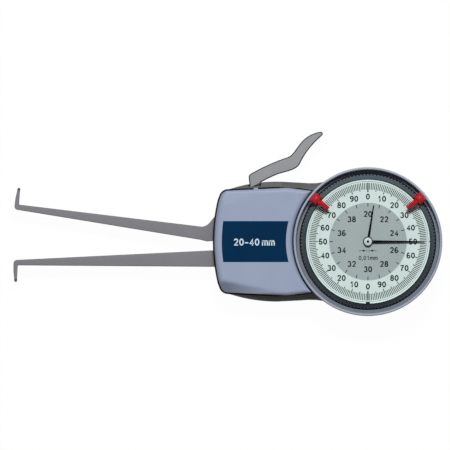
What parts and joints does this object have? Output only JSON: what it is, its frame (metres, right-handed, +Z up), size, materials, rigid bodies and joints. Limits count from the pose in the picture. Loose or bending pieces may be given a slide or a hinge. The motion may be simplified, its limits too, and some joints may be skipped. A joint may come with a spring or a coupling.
{
  "type": "inside caliper gauge",
  "caption": "Dial caliper gauge for bores and grooves: a fixed and a sprung measuring arm, a thumb lever that closes them, and a geared dial with two hands.",
  "frame": {"origin": "on the dial axis at the flat back face, which rests on the bench", "axes": "+X from the hooks towards the dial, +Y towards the thumb lever, +Z up out of the dial"},
  "size_m": [0.1846, 0.0793, 0.0276],
  "materials": {
    "shell_plastic": "satin dark grey moulding",
    "cover_paint": "satin blue-grey paint",
    "panel_blue": "smooth dark blue foil",
    "brushed_steel": "matt blasted steel",
    "bright_steel": "turned steel",
    "carbide": "ground hard metal",
    "aluminium": "milled",
    "brass": "cut and polished",
    "rubber": "moulded rubber",
    "hand_black": "matt black enamel",
    "cap_silver": "polished",
    "dial_white": "printed pale dial",
    "bezel_plastic": "dark slate moulding",
    "crystal_clear": "clear window",
    "marker_red": "red moulding"
  },
  "bodies": {
    "housing": {"rear_shell": "shell_plastic", "case_screws": "bright_steel", "chassis": "aluminium", "chassis_screws": "bright_steel", "fixed_arm": "brushed_steel", "fixed_tip": "carbide", "fixed_arm_screws": "bright_steel", "arm_seal": "rubber", "arm_axle": "bright_steel", "axle_clip": "bright_steel", "lever_pin": "bright_steel", "lever_clip": "bright_steel", "travel_stops": "bright_steel", "spring_anchor": "bright_steel", "measuring_spring": "bright_steel", "lower_bushes": "brass", "bridge_pillars": "bright_steel", "movement_bridge": "aluminium", "bridge_screws": "bright_steel", "upper_bushes": "brass", "hairspring": "bright_steel", "hairspring_stud": "bright_steel", "motion_stud": "bright_steel", "case_gasket": "rubber", "front_cover": "cover_paint", "label_plate": "panel_blue", "dial_case": "cover_paint"},
    "measuring_arm": {"moving_arm": "brushed_steel", "moving_tip": "carbide", "arm_bush": "brass", "toothed_sector": "brushed_steel", "sector_rivets": "brass", "spring_post": "bright_steel"},
    "thumb_lever": {"opening_lever": "brushed_steel", "lever_bush": "brass"},
    "first_arbor": {"first_pinion": "bright_steel", "first_wheel": "brass", "hairspring_collet": "brass"},
    "second_arbor": {"second_pinion": "bright_steel", "second_wheel": "brass"},
    "long_hand_arbor": {"centre_arbor": "bright_steel", "cannon_pinion": "brass", "long_hand": "hand_black", "hand_cap": "cap_silver"},
    "transfer_gear": {"transfer_wheel": "brass", "transfer_pinion": "bright_steel"},
    "short_hand_pipe": {"hour_wheel": "brass", "short_hand": "hand_black"},
    "bezel_ring": {"bezel": "bezel_plastic", "crystal": "crystal_clear", "crystal_gasket": "rubber", "dial_ring": "dial_white", "dial_plate": "dial_white", "dial_retainer": "aluminium", "bezel_seal": "rubber"},
    "left_tolerance_marker": {"left_marker": "marker_red"},
    "right_tolerance_marker": {"right_marker": "marker_red"}
  },
  "joints": [
    {"name": "arm_swing", "type": "hinge", "parent": "housing", "child": "measuring_arm", "pos_m": [-0.055, 0.006, 0.009], "axis": [0, 0, 1], "range_deg": [0, 12.6], "stiffness_Nm_per_rad": 0.12, "springref_deg": -51.57, "deforming": ["measuring_spring"]},
    {"name": "lever_press", "type": "hinge", "parent": "housing", "child": "thumb_lever", "pos_m": [-0.0495, 0.0195, 0.009], "axis": [0, 0, 1], "range_deg": [-12.7, 0.1]},
    {"name": "first_arbor_turn", "type": "hinge", "parent": "housing", "child": "first_arbor", "pos_m": [-0.02219, 0.00242, 0.009], "axis": [0, 0, 1], "range_deg": [-1, 152], "deforming": ["hairspring"]},
    {"name": "second_arbor_turn", "type": "hinge", "parent": "housing", "child": "second_arbor", "pos_m": [-0.01062, 0.00559, 0.009], "axis": [0, 0, 1], "range_deg": [-760, 4]},
    {"name": "long_hand_turn", "type": "hinge", "parent": "housing", "child": "long_hand_arbor", "pos_m": [0, 0, 0.009], "axis": [0, 0, 1], "range_deg": [-10, 3790]},
    {"name": "transfer_turn", "type": "hinge", "parent": "housing", "child": "transfer_gear", "pos_m": [0.00509, -0.00509, 0.018], "axis": [0, 0, 1], "range_deg": [-1895, 5]},
    {"name": "short_hand_turn", "type": "hinge", "parent": "housing", "child": "short_hand_pipe", "pos_m": [0, 0, 0.019], "axis": [0, 0, 1], "range_deg": [-1, 379]},
    {"name": "bezel_turn", "type": "hinge", "parent": "housing", "child": "bezel_ring", "pos_m": [0, 0, 0.022], "axis": [0, 0, 1], "continuous": true},
    {"name": "left_marker_slide", "type": "hinge", "parent": "bezel_ring", "child": "left_tolerance_marker", "pos_m": [0, 0, 0.025], "axis": [0, 0, 1], "range_deg": [-40, 110]},
    {"name": "right_marker_slide", "type": "hinge", "parent": "bezel_ring", "child": "right_tolerance_marker", "pos_m": [0, 0, 0.025], "axis": [0, 0, 1], "range_deg": [-110, 40]}
  ],
  "couplings": [
    {"joint": "lever_press", "follows": "arm_swing", "ratio": -1},
    {"joint": "first_arbor_turn", "follows": "arm_swing", "ratio": 12},
    {"joint": "second_arbor_turn", "follows": "arm_swing", "ratio": -60},
    {"joint": "long_hand_turn", "follows": "arm_swing", "ratio": 300},
    {"joint": "transfer_turn", "follows": "arm_swing", "ratio": -150},
    {"joint": "short_hand_turn", "follows": "arm_swing", "ratio": 30}
  ]
}
